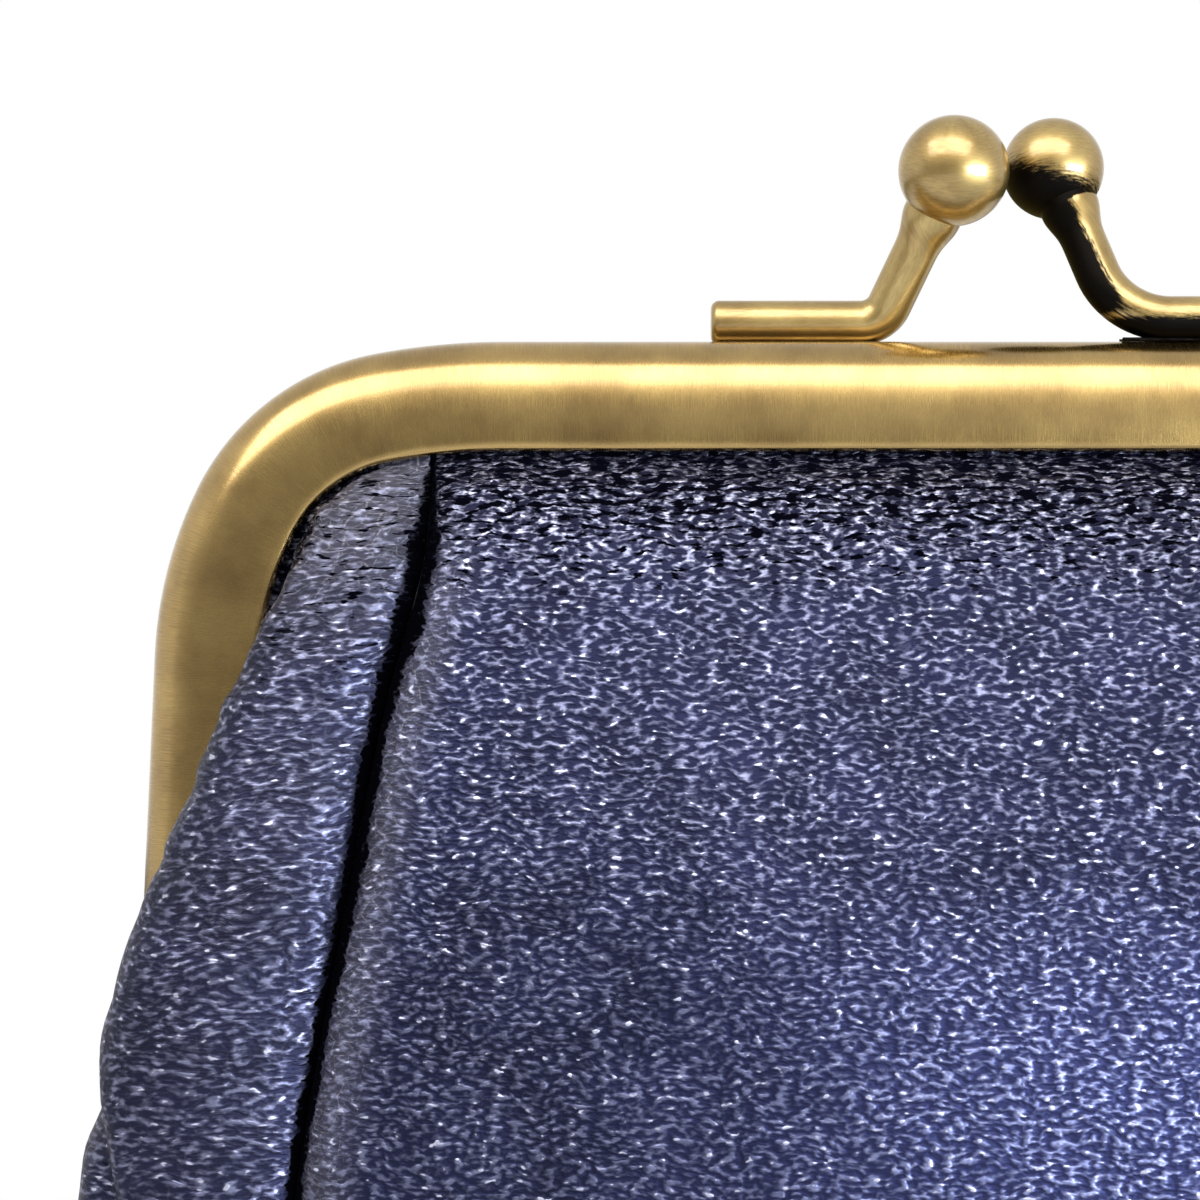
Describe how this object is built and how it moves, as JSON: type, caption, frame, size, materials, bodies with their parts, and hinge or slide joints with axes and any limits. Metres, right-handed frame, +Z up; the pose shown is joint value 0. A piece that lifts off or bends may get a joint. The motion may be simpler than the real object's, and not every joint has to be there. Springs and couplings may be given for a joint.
{
  "type": "kiss lock frame purse",
  "caption": "Small leather coin purse with padded seamed panels on a hinged antique-brass frame that crossing kiss-lock balls shut.",
  "frame": {"origin": "centre of the base on the ground plane", "axes": "+X along the frame to its right end as seen from the front, +Y to the rear, +Z up; -Y is the front"},
  "size_m": [0.1384, 0.0482, 0.1215],
  "materials": {
    "antique_brass": "brushed antique, lacquered",
    "dark_brass": "darkened",
    "metallic_leather": "crackled metallic foil, navy",
    "lining_cloth": "plain weave",
    "paper_cord": "twisted kraft paper",
    "grey_board": "raw board"
  },
  "bodies": {
    "purse_body": {"base_panel": "metallic_leather", "base_board": "grey_board", "front_panel": "metallic_leather", "rear_panel": "metallic_leather", "front_left_side": "metallic_leather", "front_right_side": "metallic_leather", "rear_left_side": "metallic_leather", "rear_right_side": "metallic_leather", "front_lining": "lining_cloth", "rear_lining": "lining_cloth"},
    "front_half": {"front_frame": "antique_brass", "front_left_hinge_tab": "dark_brass", "front_right_hinge_tab": "dark_brass", "front_clasp_wire": "antique_brass", "front_clasp_ball": "antique_brass", "front_paper_cord": "paper_cord"},
    "rear_half": {"rear_frame": "antique_brass", "rear_left_hinge_tab": "dark_brass", "rear_right_hinge_tab": "dark_brass", "rear_clasp_wire": "antique_brass", "rear_clasp_ball": "antique_brass", "rear_paper_cord": "paper_cord", "left_hinge_rivet": "dark_brass", "right_hinge_rivet": "dark_brass", "left_hinge_washer": "dark_brass", "right_hinge_washer": "dark_brass"}
  },
  "joints": [
    {"name": "front_opening", "type": "hinge", "parent": "purse_body", "child": "front_half", "pos_m": [0, 0, 0.0455], "axis": [1, 0, 0], "range_deg": [0, 45], "deforming": ["front_panel", "front_left_side", "front_right_side", "front_lining"]},
    {"name": "rear_opening", "type": "hinge", "parent": "purse_body", "child": "rear_half", "pos_m": [0, 0, 0.0455], "axis": [-1, 0, 0], "range_deg": [0, 45], "deforming": ["rear_panel", "rear_left_side", "rear_right_side", "rear_lining"]}
  ],
  "couplings": [
    {"joint": "rear_opening", "follows": "front_opening", "ratio": 1}
  ]
}
